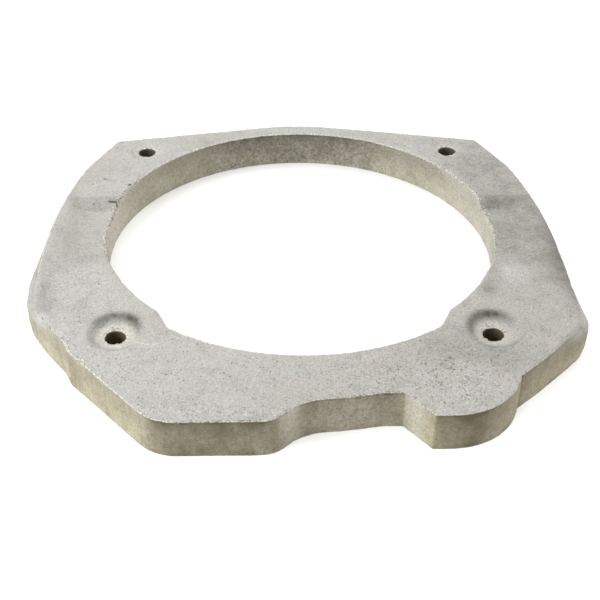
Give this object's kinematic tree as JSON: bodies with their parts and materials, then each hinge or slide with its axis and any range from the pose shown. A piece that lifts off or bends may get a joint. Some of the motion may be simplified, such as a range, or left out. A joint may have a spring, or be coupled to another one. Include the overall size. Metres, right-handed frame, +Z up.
{
  "type": "washing machine front counterweight",
  "caption": "Flat cast concrete ring with a large round opening, a notched front edge and seated bolt holes; it weights the tub of a front-loading washer.",
  "frame": {"origin": "middle of the four bolt holes, on the flat underside", "axes": "+Z up through the thickness, +X to the right along the front edge, and the notched front edge towards -Y"},
  "size_m": [0.482, 0.4799, 0.036],
  "materials": {
    "concrete": "bare cast concrete, granular and pitted on the open-cast top face, smoother and browner on the mould-cast walls"
  },
  "bodies": {
    "root": {"counterweight": "concrete"}
  },
  "joints": []
}
